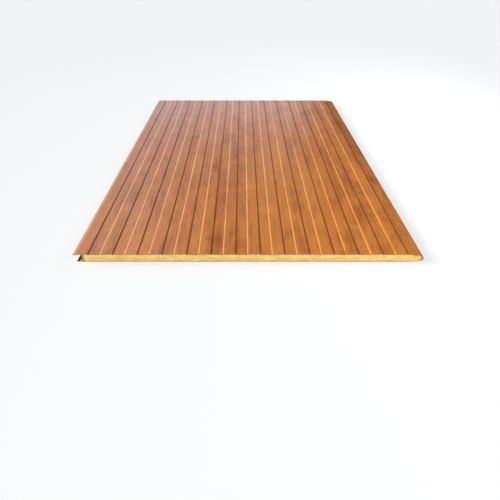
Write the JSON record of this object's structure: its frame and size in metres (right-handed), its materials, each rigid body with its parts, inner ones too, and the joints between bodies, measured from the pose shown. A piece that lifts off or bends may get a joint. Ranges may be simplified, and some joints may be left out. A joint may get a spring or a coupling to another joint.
{
  "type": "wall panel",
  "caption": "Flat insulated wall panel: ribbed wood-grain metal facing and plain back sheet on a foam core, with a groove along one long edge and a tongue along the other.",
  "frame": {"origin": "middle of the panel's footprint, on the back face that it lies on", "axes": "+X across the panel from the groove edge to the tongue edge, +Y along the ribs, +Z out of the facing"},
  "size_m": [0.4078, 0.6, 0.0107],
  "materials": {
    "facing": "satin wood-grain print on embossed sheet, lines of the grain along the ribs",
    "foam": "cream rigid polyurethane foam, sawn ends with fine open cells",
    "backing": "plain dark brown back coat"
  },
  "bodies": {
    "root": {"facing_sheet": "facing", "foam_core": "foam", "back_sheet": "backing"}
  },
  "joints": []
}
